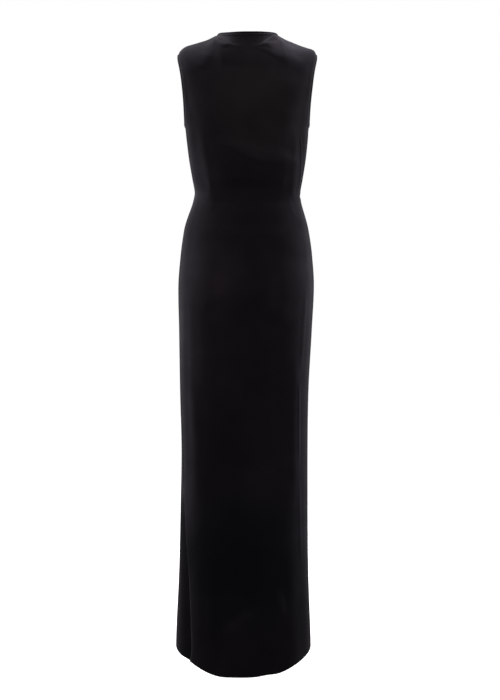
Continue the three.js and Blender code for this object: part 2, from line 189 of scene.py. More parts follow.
# %% Large folds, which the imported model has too
# angle from and to, height from and to, width on either side, height of the fold (mm)
LARGE_FOLDS = [
    ((24, 21), (-470, -650), (34, 48), 4.5),  # seat, left
    ((-27, -24), (-490, -690), (48, 34), 4.5),  # seat, right
    ((50, -74), (-238, -302), (16, 70), 3),  # back blouses
    ((50, 38), (-190, -410), (16, 20), 1.6),  # bodice side, left
    ((-50, -60), (-205, -400), (14, 16), 1.6),  # bodice side, right
    ((-52, -52), (-720, -1120), (20, 20), 2.2),  # skirt side, right
    ((50, 48), (-790, -1120), (22, 22), 1.6),  # skirt side, left
    ((-44, -50), (-1200, -1520), (26, 26), 2.2),  # hem, right
    ((14, 6), (-1290, -1500), (20, 20), 3),  # hem, middle
    ((152, 146), (-1000, -1500), (26, 26), 4),  # front hem, left
    ((204, 212), (-1060, -1500), (24, 28), 4),  # front hem, right
]
print(len(LARGE_FOLDS), "large folds")


# %% A point of the tube
def tube_point(angle, z, inset=0.0):
    """Points of the tube, in mm, moved in by inset square to the section."""
    turn = np.radians(angle)
    sine, cosine = np.sin(turn), np.cos(turn)
    half = half_at(z)
    depth = np.where(cosine >= 0, back_at(z), front_at(z))
    flatness = np.where(cosine >= 0, BACK_FLATNESS, FRONT_FLATNESS)
    out_x, out_y = sine / half, cosine / depth
    size = np.hypot(out_x, out_y)
    move = fold_lift(LARGE_FOLDS, angle, z) - inset
    x = centre_at(z) + half * sine + move * out_x / size
    y = np.sign(cosine) * depth * np.abs(cosine) ** flatness + move * out_y / size
    return np.stack([x, y, np.broadcast_to(z, x.shape)], axis=-1)


SEAT_ANGLE = 22
print("seat, on the left:", np.round(tube_point(SEAT_ANGLE, HIP_Z), 1), "mm")

# %% [markdown]
# Smaller creases come on top. They are what tells the eye that this is thin cloth: the pull lines
# below the neck corners, the fine ridges beside the armholes, the ripples where the waist seam
# takes in the fullness, and the slack lines down the skirt. The front gets its own set of the
# same kinds, since cloth creases on every side.

# %% Fine creases
# angle from and to, height from and to, width on either side, height of the crease (mm)
FINE_CREASES = [
    # below the neck corners
    ((21, 10.5), (18, -17), (5, 14), 1.8),
    ((19, 13), (-17, -20), (2.5, 3), -0.5),
    ((-22, -9.5), (20, -16), (16, 4), 3.0),
    ((-8, -32), (-15, -56), (18, 6), 1.6),
    ((-22, -38), (2, -26), (6, 12), 0.8),
    ((-30, -50), (-30, -60), (9, 12), 0.8),
    ((30, 38), (-24, -74), (14, 18), 0.9),
    # beside the armholes and down to the waist
    ((66, 62), (-96, -200), (7, 9), 0.7),
    ((-60, -63), (-96, -190), (7, 9), 0.7),
    ((-57, -75), (-205, -357), (3.5, 4), 1.3),
    ((-80, -98), (-360, -365), (4, 4), -2.0),
    # ripples at the waist seam
    ((44, 42), (-320, -357), (8, 8), 0.4),
    ((-38, -41), (-316, -357), (8, 8), 0.4),
    ((34, 38), (-359, -404), (8, 8), 0.35),
    ((-48, -54), (-359, -420), (8, 9), 0.4),
    # between and below the two sides of the seat
    ((-6, -5), (-486, -606), (13, 13), -2.4),
    ((36, 12), (-632, -612), (8, 14), -0.8),
    ((-36, -12), (-668, -676), (8, 14), -0.7),
    # down the skirt
    ((-60, -59), (-560, -800), (6, 8), 1.2),
    ((-56.5, -58), (-780, -1030), (3, 5), 1.5),
    ((-58, -62), (-1000, -1260), (5, 7), 1.0),
    ((55, 54), (-540, -1000), (16, 9), 0.7),
    ((30, 36), (-760, -1120), (14, 18), 0.8),
    ((-20, -26), (-820, -1200), (16, 14), 0.8),
    ((12, -18), (-952, -986), (8, 14), 0.6),
    ((22, 2), (-1046, -1064), (9, 14), 0.6),
    ((30, 26), (-1180, -1450), (12, 14), 1.2),
    ((-14, -20), (-1260, -1480), (14, 12), 1.2),
    ((14, -6), (-1393, -1336), (9, 7), 1.8),
    ((-31, -36), (-1284, -1350), (8, 7), 1.5),
    # front of the bodice
    ((112, 142), (-190, -240), (10, 16), 1.3),
    ((247, 221), (-184, -232), (10, 16), 1.2),
    ((124, 158), (-256, -284), (12, 18), 1.3),
    ((232, 206), (-266, -290), (12, 18), 1.1),
    ((150, 214), (-322, -332), (9, 16), 1.2),
    ((134, 138), (-318, -357), (12, 10), 0.5),
    ((226, 221), (-322, -357), (11, 12), 0.45),
    ((166, 158), (-30, -80), (9, 12), 0.9),
    ((196, 206), (-34, -90), (9, 12), 0.9),
    # front of the skirt
    ((129, 118), (-359, -430), (11, 12), 0.5),
    ((233, 244), (-359, -446), (12, 11), 0.5),
    ((150, 204), (-420, -432), (10, 14), 0.8),
    ((112, 108), (-520, -900), (10, 12), 1.4),
    ((246, 250), (-560, -960), (12, 10), 1.5),
    ((168, 162), (-700, -1160), (14, 16), 1.2),
    ((190, 196), (-780, -1240), (16, 14), 1.2),
    ((134, 128), (-1080, -1460), (12, 12), 1.5),
    ((178, 182), (-1200, -1460), (12, 12), 1.4),
    ((226, 232), (-1140, -1460), (12, 12), 1.6),
]
print(len(FINE_CREASES), "fine creases")

# %% [markdown]
# Above the waist the back has slack cloth, which lets its wearer bend. It hangs over and ends in
# a soft, bowl-shaped edge, lower on the right. A fold can't do that, because it runs straight, so
# this ledge is a curve through a table. It falls away quickly below its edge and slowly above.

# %% Where the back blouses over
# angle, height of the lower edge of the fullness, how far it stands out (mm)
LEDGE = [
    (-66, -276, 0), (-50, -286, 0.9), (-30, -288, 1.6), (-10.7, -285, 1.7), (-5, -280, 1.7),
    (7, -266, 1.4), (20, -252, 0.7), (30, -242, 0),
]
LEDGE_BELOW, LEDGE_ABOVE = 8, 42  # how far the fullness reaches below its edge and above it
ledge_z, ledge_height = smooth_curve(LEDGE, 1), smooth_curve(LEDGE, 2)


def ledge_lift(angle, z):
    """The fullness of the back, which ends in a soft bowl-shaped edge above the waist."""
    above = z - ledge_z(angle)
    reach = np.where(above < 0, LEDGE_BELOW, LEDGE_ABOVE)
    on_back = np.abs(angle) < 90
    return on_back * ledge_height(angle) * np.exp(-((above / reach) ** 2))


print("the ledge runs from", LEDGE[0][0], "to", LEDGE[-1][0], "degrees round the back")

# %% [markdown]
# ## The cut of the bodice
#
# The bodice is two pieces, one for the back and one for the front, each from side seam to side
# seam. A patch is made of columns, which run up from the waist to the neck edge or the shoulder
# seam, and rows, which run from edge to edge. Rows and columns lie closest where the cloth turns
# most: over the shoulder and at the edges.

# %% Measures of the bodice
UNDERARM_Z = -196
SHOULDER_TIP_X, SHOULDER_TIP_Z = 165.5, -22
SHOULDER_TURN = 80  # how far below its seam the shoulder has turned upright
SHOULDER_ROUNDNESS = 0.5  # 0.5 turns as a quarter circle does, 1 is softer
SEAM_GAP = -0.04  # the sewn edges lap by a hair, so that no light shows through a seam
NECK_LEFT_HALF, NECK_RIGHT_HALF = 70.5, 73.5
NECK_BACK_DEPTH, NECK_FRONT_DEPTH = 61, 63
NECK_LEFT_Z, NECK_RIGHT_Z, NECK_BACK_Z, NECK_FRONT_Z = 25.5, 24.8, 17.5, -8
NECK_LEFT_SWEEP, NECK_RIGHT_SWEEP = 3.2, 1.9  # more stays level closer to the corner

# height, how far out the cloth ends at the armhole
ARMHOLE = [
    (-22, 165.5), (-40, 163.8), (-60, 159.6), (-85, 155.4),
    (-110, 152.3), (-140, 149.7), (-168, 148.6), (-196, 148.6),
]
# from the neck (0) to the outer end (1), height of the left and of the right shoulder seam
SHOULDERS = [
    (0, 25.5, 24.8), (0.08, 22.1, 20.3), (0.16, 18, 15.9), (0.26, 13.4, 11.6), (0.43, 8.4, 5.3),
    (0.6, 3.7, -0.9), (0.78, -1.3, -6.1), (0.87, -6, -8.4), (0.94, -13, -12.6), (1, -22, -22),
]
armhole_reach = smooth_curve(ARMHOLE, 1)
left_shoulder_z, right_shoulder_z = smooth_curve(SHOULDERS, 1), smooth_curve(SHOULDERS, 2)

# %% Rows and columns of a bodice piece
NECK_STEPS, SHOULDER_STEPS = 6, 5
SIDE_STEPS = NECK_STEPS + SHOULDER_STEPS
COLUMNS_IN_A_NECK_STEP, SHOULDER_COLUMNS = 8, 38
EDGE_COLUMNS = (0.3, 0.22, 0.16, 0.11, 0.07, 0.035, 0)  # steps in from the side edge
SEAM_ROWS = (0, 0.5, 1.1, 1.8, 2.7, 4)  # distances from a seam, where the cloth dips (mm)
SIDE_ROWS, ARMHOLE_ROWS = 60, 84
SIDE_ROWS_FROM = 2.6  # above the last of the seam rows (mm)


def lerp(start, end, share):
    return start + (end - start) * share


def bodice_steps():
    """Columns from the right edge to the left one, counted in steps from the middle."""
    neck = np.linspace(0, NECK_STEPS, COLUMNS_IN_A_NECK_STEP * NECK_STEPS + 1)
    shoulder = np.linspace(NECK_STEPS, SIDE_STEPS - EDGE_COLUMNS[0], SHOULDER_COLUMNS)
    edge = SIDE_STEPS - np.array(EDGE_COLUMNS[1:])
    one_side = np.concatenate([neck, shoulder[1:], edge])
    return np.concatenate([-one_side[:0:-1], one_side])


def bodice_heights():
    """Heights of the rows along the side edge, from the waist to the shoulder tip."""
    seam = WAIST_Z + np.array(SEAM_ROWS)
    side = np.linspace(seam[-1] + SIDE_ROWS_FROM, UNDERARM_Z, SIDE_ROWS)
    rise = np.sin(np.linspace(0, math.pi / 2, ARMHOLE_ROWS))
    armhole = lerp(UNDERARM_Z, SHOULDER_TIP_Z, rise)
    return np.concatenate([seam, side, armhole[1:]])


print(len(bodice_heights()), "rows by", len(bodice_steps()), "columns")


# %% The top edge of a bodice piece
def bodice_top(step, is_back):
    """Where each column ends: how far out, how deep and how high."""
    side, count = np.where(step < 0, -1, 1), np.abs(step)
    neck_half = np.where(side > 0, NECK_LEFT_HALF, NECK_RIGHT_HALF)
    corner_z = np.where(side > 0, NECK_LEFT_Z, NECK_RIGHT_Z)
    turn = np.minimum(count / NECK_STEPS, 1) * math.pi / 2
    if is_back:
        sweep = np.where(side > 0, NECK_LEFT_SWEEP, NECK_RIGHT_SWEEP)
        neck_z = lerp(NECK_BACK_Z, corner_z, np.sin(turn) ** sweep)
    else:
        neck_z = lerp(corner_z, NECK_FRONT_Z, np.cos(turn))
    depth = (NECK_BACK_DEPTH if is_back else NECK_FRONT_DEPTH) * np.cos(turn)
    along = np.clip((count - NECK_STEPS) / SHOULDER_STEPS, 0, 1)
    seam_z = np.where(side > 0, left_shoulder_z(along), right_shoulder_z(along))
    on_neck = count <= NECK_STEPS
    out = np.where(on_neck, neck_half * np.sin(turn), lerp(neck_half, SHOULDER_TIP_X, along))
    return out, np.where(on_neck, depth, 0), np.where(on_neck, neck_z, seam_z)


# %% Points of a bodice piece
NECK_SPREAD = 78  # below the neck the cloth keeps the neck's depth about this far out (mm)
NECK_SOFTENS_FROM, YOKE_RISES_BY = -0.35, 0.4


def bodice_grid(is_back):
    """The outer face of a bodice piece: points, angle round the tube and distance to edges."""
    steps, heights = bodice_steps(), bodice_heights()
    side = np.where(steps < 0, -1, 1)[None, :]
    top_x, top_depth, top_z = (row[None, :] for row in bodice_top(steps, is_back))
    rise = ((heights - WAIST_Z) / (SHOULDER_TIP_Z - WAIST_Z))[:, None]
    z = lerp(WAIST_Z, top_z, rise)
    low = np.sin(math.pi / 2 * np.abs(steps) / SIDE_STEPS)[None, :]
    edge = np.where(z <= UNDERARM_Z, half_at(z), armhole_reach(z))
    reach = lerp(low, top_x / SHOULDER_TIP_X, rise**2) * edge
    angle = np.degrees(np.arcsin(np.clip(reach / half_at(z), 0, 1)))
    angle = side * (angle if is_back else 180 - angle)
    place = tube_point(angle, z)
    # over the shoulder and into the neck, the cloth turns from upright to level
    turned = np.clip((top_z - z) / SHOULDER_TURN, 0, 1)
    neckness = smooth(1 - reach / NECK_LEFT_HALF, NECK_SOFTENS_FROM, 1)
    bend = (1 - (1 - turned) ** 2) ** lerp(SHOULDER_ROUNDNESS, 1, neckness)
    yoke = NECK_BACK_DEPTH * np.exp(-((reach / NECK_SPREAD) ** 4))
    yoke = yoke * smooth(turned, 0, YOKE_RISES_BY)
    depth = lerp(np.maximum(top_depth, yoke), np.abs(place[..., 1]), bend)
    place[..., 1] = depth if is_back else -depth
    edges = {"below_top": top_z - z, "from_side": edge - reach, "top_x": top_x + 0 * z}
    return place, angle, edges


back_points, back_angle, back_edges = bodice_grid(True)
print("back bodice:", back_points.shape, "top", round(back_points[..., 2].max(), 1), "mm")

# %% [markdown]
# A fine crease is a small move along the cloth's own normal, the direction square to its face.
# The normal at each point is the cross product of the way along the row and the way up the
# column. At the seams the cloth dips, because the stitching holds it down, and beside a bound
# edge it swells a little, because the binding draws it in.

# %% Dips at the seams and swells beside the bindings
SEAM_DIP, WAIST_DIP = 0.3, 0.1
SEAM_REACH = 2.2
BOUND_SWELL, SWELL_PLACE, SWELL_WIDTH = 0.7, 5, 3  # how high, how far in, how wide (mm)


def grid_normals(points, facing):
    along = np.gradient(points, axis=1)
    up = np.gradient(points, axis=0)
    normal = np.cross(up, along) * facing
    size = np.linalg.norm(normal, axis=-1, keepdims=True)
    return normal / np.maximum(size, 1e-9)


def seam_dip(distance, depth=SEAM_DIP):
    return -depth * np.exp(-((distance / SEAM_REACH) ** 2))


def bound_swell(distance):
    return BOUND_SWELL * np.exp(-(((distance - SWELL_PLACE) / SWELL_WIDTH) ** 2))


print("a seam dips", SEAM_DIP, "mm; the cloth swells", BOUND_SWELL, "mm beside a binding")

# %% Relief of a bodice piece
EDGE_CHANGES_OVER = 4  # either side of where one kind of edge becomes another (mm)
CREASES_FADE_OVER = 26  # below a shoulder seam (mm)
SHOULDER_SEAM_TIGHTER, NECK_SWELL_TIGHTER = 2, 1.4  # how much narrower the dip and swell are


def bodice_relief(points, angle, edges):
    z = points[..., 2]
    corner, change = NECK_LEFT_HALF, EDGE_CHANGES_OVER
    on_shoulder = smooth(edges["top_x"], corner - change, corner + change)
    at_armhole = smooth(z, UNDERARM_Z - change, UNDERARM_Z + change)
    creases = fold_lift(FINE_CREASES, angle, z) + ledge_lift(angle, z)
    near_seam = smooth(edges["below_top"], 0, CREASES_FADE_OVER)
    relief = creases * lerp(1, near_seam, on_shoulder)
    relief = relief + seam_dip(z - WAIST_Z, WAIST_DIP)
    relief = relief + seam_dip(edges["from_side"]) * (1 - at_armhole)
    relief = relief + seam_dip(edges["below_top"] * SHOULDER_SEAM_TIGHTER) * on_shoulder
    relief = relief + bound_swell(edges["from_side"]) * at_armhole
    return relief + bound_swell(edges["below_top"] * NECK_SWELL_TIGHTER) * (1 - on_shoulder)


def span(values):
    return f"from {values.min():.2f} to {values.max():.2f}"


print("back bodice relief", span(bodice_relief(back_points, back_angle, back_edges)), "mm")

# %% [markdown]
# ## The cut of the skirt
#
# The skirt is also two pieces. Its left side seam swings towards the back as it goes down, and
# below the knee it is left open: that is the slit, where the front piece runs on under the back
# one. The hem hangs lower at the back. Both pieces turn in at their side edges, as pressed seam
# allowances do, and at the hem the cloth is folded up inside and caught by hand, so that no
# stitch shows outside.

# %% Measures of the skirt
SLIT_TOP_Z = -1045
SEAM_FOOT_Z = -1460
SLIT_UNDERLAP, SLIT_INSET, SLIT_EASE = 14, 4.6, 44
SLIT_INSET_BY, SLIT_UNDERLAP_FROM, SLIT_UNDERLAP_BY = 50, 100, 160  # below the slit's top
TURN_RADIUS = 1.5
HEM_ALLOWANCE = 24
GAP_ANGLE = math.degrees(SEAM_GAP / 2 / FOLD_RADIUS)
TURN_ANGLE = math.degrees(TURN_RADIUS / FOLD_RADIUS)

# height, angle of the left side seam
LEFT_SEAM = [
    (-358, 90), (-700, 85), (-1045, 72), (-1176, 63.5),
    (-1281, 55.5), (-1401, 49.5), (-1440, 49), (-1470, 52),
]
# angle, height of the hem
HEM = [
    (-90, -1435), (-75, -1446), (-60, -1457.5), (-48, -1468.5), (-39, -1477.5), (-30, -1484),
    (-20, -1486.2), (-10, -1490), (0, -1491), (10, -1490.9), (18, -1490.5), (26, -1486.5),
    (34, -1479.5), (42, -1471), (52, -1460), (65, -1450.5), (78, -1442), (90, -1435),
    (120, -1422), (150, -1417), (180, -1416), (210, -1417), (240, -1422), (270, -1435),
]
left_seam_angle = smooth_curve(LEFT_SEAM, 1)
hem_z = smooth_curve(HEM, 1)
print("hem at centre back", float(hem_z(0)), "mm, at centre front", float(hem_z(180)), "mm")


# %% The front piece under the slit
def slit_inset(angle, z):
    """How far the front piece lies inside the back piece near the slit."""
    opened = smooth(SLIT_TOP_Z - z, 0, SLIT_INSET_BY)
    past = np.radians(angle - left_seam_angle(z)) * FOLD_RADIUS
    return SLIT_INSET * opened * (1 - smooth(past, 0, SLIT_EASE))


def underlap_angle(z):
    """How far round the front piece runs on under the back piece."""
    share = smooth(SLIT_TOP_Z - z, SLIT_UNDERLAP_FROM, SLIT_UNDERLAP_BY)
    return math.degrees(SLIT_UNDERLAP / FOLD_RADIUS) * share


print("the front runs on", SLIT_UNDERLAP, "mm under the slit")

# %% Rows and columns of a skirt piece
SKIRT_COLUMNS, SKIRT_ROWS = 132, 290
SKIRT_ACROSS, SKIRT_DOWN = 460, 1100  # rough width and length of a piece (mm)
LAST_SEAM_ROW = 6
TURN_STEPS, HEM_STEPS = 6, 7  # round a turned edge, and up the hem allowance
HALF_TURN = np.linspace(0, math.pi, TURN_STEPS + 1)[1:]


def graded(count, length):
    """Shares from 0 to 1, even in the middle and close together at both ends."""
    near = np.array((*SEAM_ROWS, LAST_SEAM_ROW)) / length
    middle = np.linspace(near[-1], 1 - near[-1], count)
    return np.concatenate([near[:-1], middle, 1 - near[-2::-1]])


def skirt_columns():
    """How far across each column is, and how far it has turned in at a side edge."""
    across = graded(SKIRT_COLUMNS, SKIRT_ACROSS)
    turn = np.concatenate([HALF_TURN[::-1], np.zeros(len(across)), HALF_TURN])
    across = np.concatenate([np.zeros(TURN_STEPS), across, np.ones(TURN_STEPS)])
    return across[None, :], turn[None, :]


def skirt_rows():
    """How far down each row is, how far it has turned at the hem, how far it is folded up."""
    fold_up = np.linspace(0, 1, HEM_STEPS + 1)[1:]
    fall = graded(SKIRT_ROWS, SKIRT_DOWN)
    turn = np.concatenate([np.zeros(len(fall)), HALF_TURN, np.full(HEM_STEPS, math.pi)])
    folded_up = np.concatenate([np.zeros(len(fall) + TURN_STEPS), fold_up])
    fall = np.concatenate([fall, np.ones(TURN_STEPS + HEM_STEPS)])
    return fall[:, None], turn[:, None], folded_up[:, None]


print(skirt_rows()[0].size, "rows by", skirt_columns()[0].size, "columns")

# %% Points of a skirt piece
HEM_MITRE = 14  # nearer to a side edge than this, the folded-up hem narrows to nothing (mm)


def skirt_grid(is_back):
    """The outer face of a skirt piece with its side edges and its hem turned in."""
    across, edge_turn = skirt_columns()
    fall, hem_turn, folded_up = skirt_rows()
    top = WAIST_Z - SEAM_GAP / 2
    seam_z = lerp(top, hem_z(left_seam_angle(SEAM_FOOT_Z)), fall)
    seam = left_seam_angle(seam_z)
    start = (-90 if is_back else seam - underlap_angle(seam_z)) + GAP_ANGLE
    end = (seam if is_back else 270) - GAP_ANGLE

    inward = TURN_ANGLE * (1 - np.sin(edge_turn))
    angle = lerp(start + TURN_ANGLE, end - TURN_ANGLE, across)
    angle = np.where((across == 0) & (edge_turn > 0), start + inward, angle)
    angle = np.where((across == 1) & (edge_turn > 0), end - inward, angle)

    from_edge = np.minimum(across, 1 - across) * SKIRT_ACROSS
    mitre = np.clip(from_edge / HEM_MITRE, 0, 1)
    z = lerp(top, hem_z(angle) + TURN_RADIUS, fall)
    z = z - TURN_RADIUS * np.sin(hem_turn) * np.maximum(np.cos(edge_turn), 0)
    z = z + HEM_ALLOWANCE * folded_up * mitre
    turned_in = np.maximum(1 - np.cos(edge_turn), 1 - np.cos(hem_turn)) * TURN_RADIUS
    inset = turned_in + (0 if is_back else slit_inset(angle, z))
    edges = {"below_top": top - z, "flat": 1 - turned_in / TURN_RADIUS / 2}
    return tube_point(angle, z, inset), angle, edges


skirt_points, skirt_angle, skirt_edges = skirt_grid(True)
print("back skirt:", skirt_points.shape, "foot", round(skirt_points[..., 2].min(), 1), "mm")

# %% Relief of a skirt piece
FLAT_FROM = 0.4  # creases fade out as an edge turns in


def skirt_relief(points, angle, edges):
    relief = fold_lift(FINE_CREASES, angle, points[..., 2])
    relief = relief + seam_dip(edges["below_top"], WAIST_DIP)
    return relief * smooth(edges["flat"], FLAT_FROM, 1)


print("back skirt relief", span(skirt_relief(skirt_points, skirt_angle, skirt_edges)), "mm")

# %% [markdown]
# ## From a grid to a piece of cloth
#
# The grid becomes a mesh of four-cornered faces. It is the outer face of the cloth only; a
# Solidify modifier gives it its thickness inward, so that the outside stays exactly where it was
# cut. The outermost edges are marked sharp, so that the shading doesn't run round them and draw a
# light line along each seam.

# %% Cloth from a grid
CLOTH = 1.3 * MM


def mark_cut_edges(mesh, rows, columns):
    ends = np.empty(2 * len(mesh.edges), int)
    mesh.edges.foreach_get("vertices", ends)
    row, column = np.divmod(ends.reshape(-1, 2).T, columns)
    cut = np.zeros(len(mesh.edges), bool)
    for line, last in ((row, rows - 1), (column, columns - 1)):
        cut |= (line[0] == line[1]) & ((line[0] == 0) | (line[0] == last))
    mesh.attributes.new("sharp_edge", "BOOLEAN", "EDGE").data.foreach_set("value", cut)


def cloth_from_grid(name, points, facing, pile):
    """A piece of cloth with its thickness, and with what is painted on its points."""
    rows, columns = points.shape[:2]
    index = np.arange(rows * columns).reshape(rows, columns)
    quads = np.stack([index[:-1, :-1], index[:-1, 1:], index[1:, 1:], index[1:, :-1]], axis=-1)
    quads = quads.reshape(-1, 4)
    if facing < 0:
        quads = quads[:, ::-1]
    mesh = bpy.data.meshes.new(name)
    mesh.from_pydata((points.reshape(-1, 3) * MM).tolist(), [], quads.tolist())
    for kind, value in pile.items():
        mesh.attributes.new(kind, "FLOAT", "POINT").data.foreach_set("value", value.ravel())
    mark_cut_edges(mesh, rows, columns)
    mesh.polygons.foreach_set("use_smooth", np.ones(len(quads), bool))
    cloth = bpy.data.objects.new(name + "_velvet", mesh)
    bpy.context.scene.collection.objects.link(cloth)
    thick = cloth.modifiers.new("thickness", "SOLIDIFY")
    thick.thickness = CLOTH
    thick.offset = -1
    return cloth


# %% [markdown]
# ## Painted light and shade
#
# Light and shade are painted on the points, as soft-edged spots and streaks, and multiplied into
# one number for every point: more than 1 is a painted highlight, less is painted shade. An image
# could hold such spots, but it would have to be laid out on each piece. Two more numbers say where
# the black looks warmer or colder.

# %% Soft spots of painted light and shade
# angle, height, reach round and in height (degrees, mm), how much lighter: painted highlight above
# 0, painted shade below 0
PAINTED_LIGHT_SPOTS = [
    (-8, -110, 42, 80, 0.6),  # upper back
    (0, -18, 22, 20, -0.55),  # below the neck
    (4, -42, 26, 18, -0.38),
    (15.5, 2, 5, 14, 0.9),  # neck corner, left
    (-18, -8, 6, 16, 0.6),  # neck corner, right
    (-34, -12, 16, 22, 0.3),  # shoulder, right
    (-37, -88, 9, 40, 0.3),
    (-47, -64, 7, 22, -0.35),
    (47, -64, 8, 26, -0.26),  # shoulder, left
    (30, -112, 20, 40, -0.16),  # shoulder blade, left
    (-63, -232, 11, 76, -0.5),  # beside the right armhole
    (60, -208, 12, 62, -0.45),  # beside the left armhole
    (49, -130, 9, 60, -0.14),
    (-34, -262, 22, 62, 0.44),  # over the fullness
    (38, -318, 14, 44, 0.75),  # waist, left
    (50, -356, 12, 24, 0.2),
    (66, -356, 16, 24, 0.5),
    (-42, -348, 12, 30, 0.4),  # waist, right
    (-8, -434, 50, 62, -0.5),  # under the waist seam
    (23, -576, 17, 68, 1.05),  # seat, left
    (40, -580, 7, 60, -0.12),
    (-28, -606, 13, 66, 0.62),  # seat, right
    (-47, -610, 8, 90, -0.2),
    (-5, -540, 9, 50, -0.14),  # between them
    (-68, -590, 12, 130, 0.32),  # thigh, right
    (74, -660, 14, 110, 0.25),  # thigh, left
    (43, -760, 12, 100, 0.5),
    (-28, -1020, 16, 70, 0.42),  # calves
    (-8, -1058, 14, 44, 0.36),
    (18, -960, 18, 80, -0.32),
    (4, -1230, 56, 160, -0.5),  # low on the skirt
    (59, -1214, 9, 70, -0.45),  # beside the slit
    (49, -1196, 9, 40, -0.22),
    (34, -1260, 12, 70, -0.22),
    (22, -1340, 10, 60, -0.22),
    (-62, -1370, 26, 170, -0.6),  # hem, right
    (-41, -1372, 10, 70, 0.6),
    (178, -150, 44, 90, 0.7),  # chest
    (176, -282, 44, 34, 0.5),  # over the slack above the waist
    (180, -404, 44, 40, -0.25),  # front, below the waist
    (158, -640, 18, 110, 0.45),  # front of the thighs
    (203, -660, 18, 120, 0.4),
    (172, -980, 30, 90, 0.25),  # front of the skirt
    (180, -1230, 50, 150, -0.3),
    (40, -1350, 8, 50, 0.15),  # hem beside the slit
    (52, -1404, 7, 20, 0.4),
]


def painted(spots, angle, z):
    """How much each soft-edged spot adds at an angle and a height."""
    for at_angle, at_z, round_reach, z_reach, more in spots:
        turn = (angle - at_angle + 180) % 360 - 180
        yield more * np.exp(-((turn / round_reach) ** 2) - ((z - at_z) / z_reach) ** 2)


print(len(PAINTED_LIGHT_SPOTS), "soft spots")

# %% Streaks of painted light and shade
# painted light and shade laid along a line, as the folds are: angles, heights, width on either
# side, how much
PAINTED_LIGHT_STREAKS = [
    ((20, 22), (4, -92), (4, 22), 0.3),  # neck corner, left
    ((18, 19), (4, -92), (20, 4), -0.22),
    ((-11.8, -12.6), (10, -28), (16, 1.2), 0.35),  # neck corner, right
    ((-11, -27), (-22, -52), (14, 2.5), 0.35),
    ((-18, -42), (0, -34), (6, 14), 0.25),  # shoulder, right
    ((-26, -52), (-28, -62), (8, 14), 0.22),
    ((-58, -74), (-205, -357), (2.5, 2.5), 0.25),  # fine ridge down the right side
    ((-66, -86), (-225, -350), (4, 4), -0.3),
    ((18, -14), (-1404, -1322), (14, 11), 0.65),  # over the small folds of the hem
    ((-30, -38), (-1272, -1362), (10, 8), 0.6),
]
STREAK_END = 0.45  # a streak fades along most of its length
# where the black looks warmer (above 0) or colder (below 0)
WARM = [
    (-8, -160, 46, 120, 1),  # upper back
    (68, -1290, 14, 60, 1),  # beside the slit
    (0, -1220, 74, 150, -1),  # low on the skirt
    (-42, -30, 20, 44, -0.8),  # shoulder, right
    (42, -30, 18, 40, -0.6),  # shoulder, left
]
print(len(PAINTED_LIGHT_STREAKS), "streaks, and", len(WARM), "spots of warmer or colder black")

# %% Painted light and shade
# painted shade along the side seams and on the front piece under the slit, painted highlight on the
# slit's edge and above the ledge
SEAM_SHADE, SEAM_HALF = 0.45, 0.9  # how much darker a side seam is, and how wide (degrees)
SLIT_OPENS_OVER = 90  # below the slit's top (mm)
SLIT_SHADE, SLIT_SHADE_FROM, SLIT_SHADE_TO = 0.62, 16, 44  # on the front piece (degrees)
SLIT_SHINE, SLIT_SHINE_WIDTH = 0.9, 1.6  # on the back piece's edge (degrees)
LEDGE_SHINE, LEDGE_SHINE_REACH = 0.2, 55
LEDGE_SHINE_FROM, LEDGE_SHINE_TO = -7, 6  # either side of the ledge (mm)


def painted_light_and_shade(angle, z, is_back):
    """Painted light and shade: 1 is unchanged, more is a painted highlight, less is painted shade.
    """
    shade = np.ones(np.broadcast(angle, z).shape)
    for more in painted(PAINTED_LIGHT_SPOTS, angle, z):
        shade = shade * (1 + more)
    shade = shade * (1 + fold_lift(PAINTED_LIGHT_STREAKS, angle, z, end=STREAK_END))
    past_slit = angle - left_seam_angle(z)
    past_right = (angle + 270) % 360 - 180
    opened = smooth(SLIT_TOP_Z - z, 0, SLIT_OPENS_OVER)
    at_left, at_right = (np.exp(-((past / SEAM_HALF) ** 2)) for past in (past_slit, past_right))
    shade = shade * (1 - SEAM_SHADE * (at_left * (1 - opened) + at_right))
    if not is_back:
        away = smooth(past_slit, SLIT_SHADE_FROM, SLIT_SHADE_TO)
        return shade * (1 - SLIT_SHADE * opened * (1 - away))
    above = z - ledge_z(angle)
    fullness = ledge_height(angle) * np.exp(-((above / LEDGE_SHINE_REACH) ** 2))
    fullness = fullness * smooth(above, LEDGE_SHINE_FROM, LEDGE_SHINE_TO)
    shade = shade * (1 + LEDGE_SHINE * fullness)
    on_edge = np.exp(-((past_slit / SLIT_SHINE_WIDTH) ** 2))
    return shade * (1 + SLIT_SHINE * opened * on_edge)


def light_and_tint_of(angle, points, is_back):
    """The three numbers that are painted on the points of a piece."""
    z = points[..., 2]
    tint = sum(painted(WARM, angle, z))
    return {
        "painted_light_and_shade": painted_light_and_shade(angle, z, is_back),
        "pile_warmth": np.clip(tint, 0, 1),
        "pile_cold": np.clip(-tint, 0, 1),
    }


# the span of the painted light and shade on the back bodice
print("back bodice painted light and shade", span(painted_light_and_shade(back_angle, back_points[..., 2], True)))

# %% [markdown]
# Now the four pieces can be sewn. Each is cut as a grid, moved along its normals and made into
# cloth. The side, shoulder and waist edges of the bodice are put back on their seam lines after
# the move, so that the pieces still meet.

# %% Sew the four pieces
ON_SEAM = 1e-6

cloths = {}
for name, is_back in {"back_bodice": True, "front_bodice": False}.items():
    points, angle, edges = bodice_grid(is_back)
    facing = 1 if is_back else -1
    normals = grid_normals(points, facing)
    points = points + normals * bodice_relief(points, angle, edges)[..., None]
    on_side = (edges["from_side"] == 0) & (points[..., 2] <= UNDERARM_Z)
    on_shoulder = (edges["below_top"] < ON_SEAM) & (edges["top_x"] >= NECK_LEFT_HALF)
    seam_y = facing * SEAM_GAP / 2
    points[..., 1] = np.where(on_side | on_shoulder, seam_y, points[..., 1])
    points[0, :, 2] += SEAM_GAP / 2
    cloths[name] = cloth_from_grid(name, points, -facing, light_and_tint_of(angle, points, is_back))

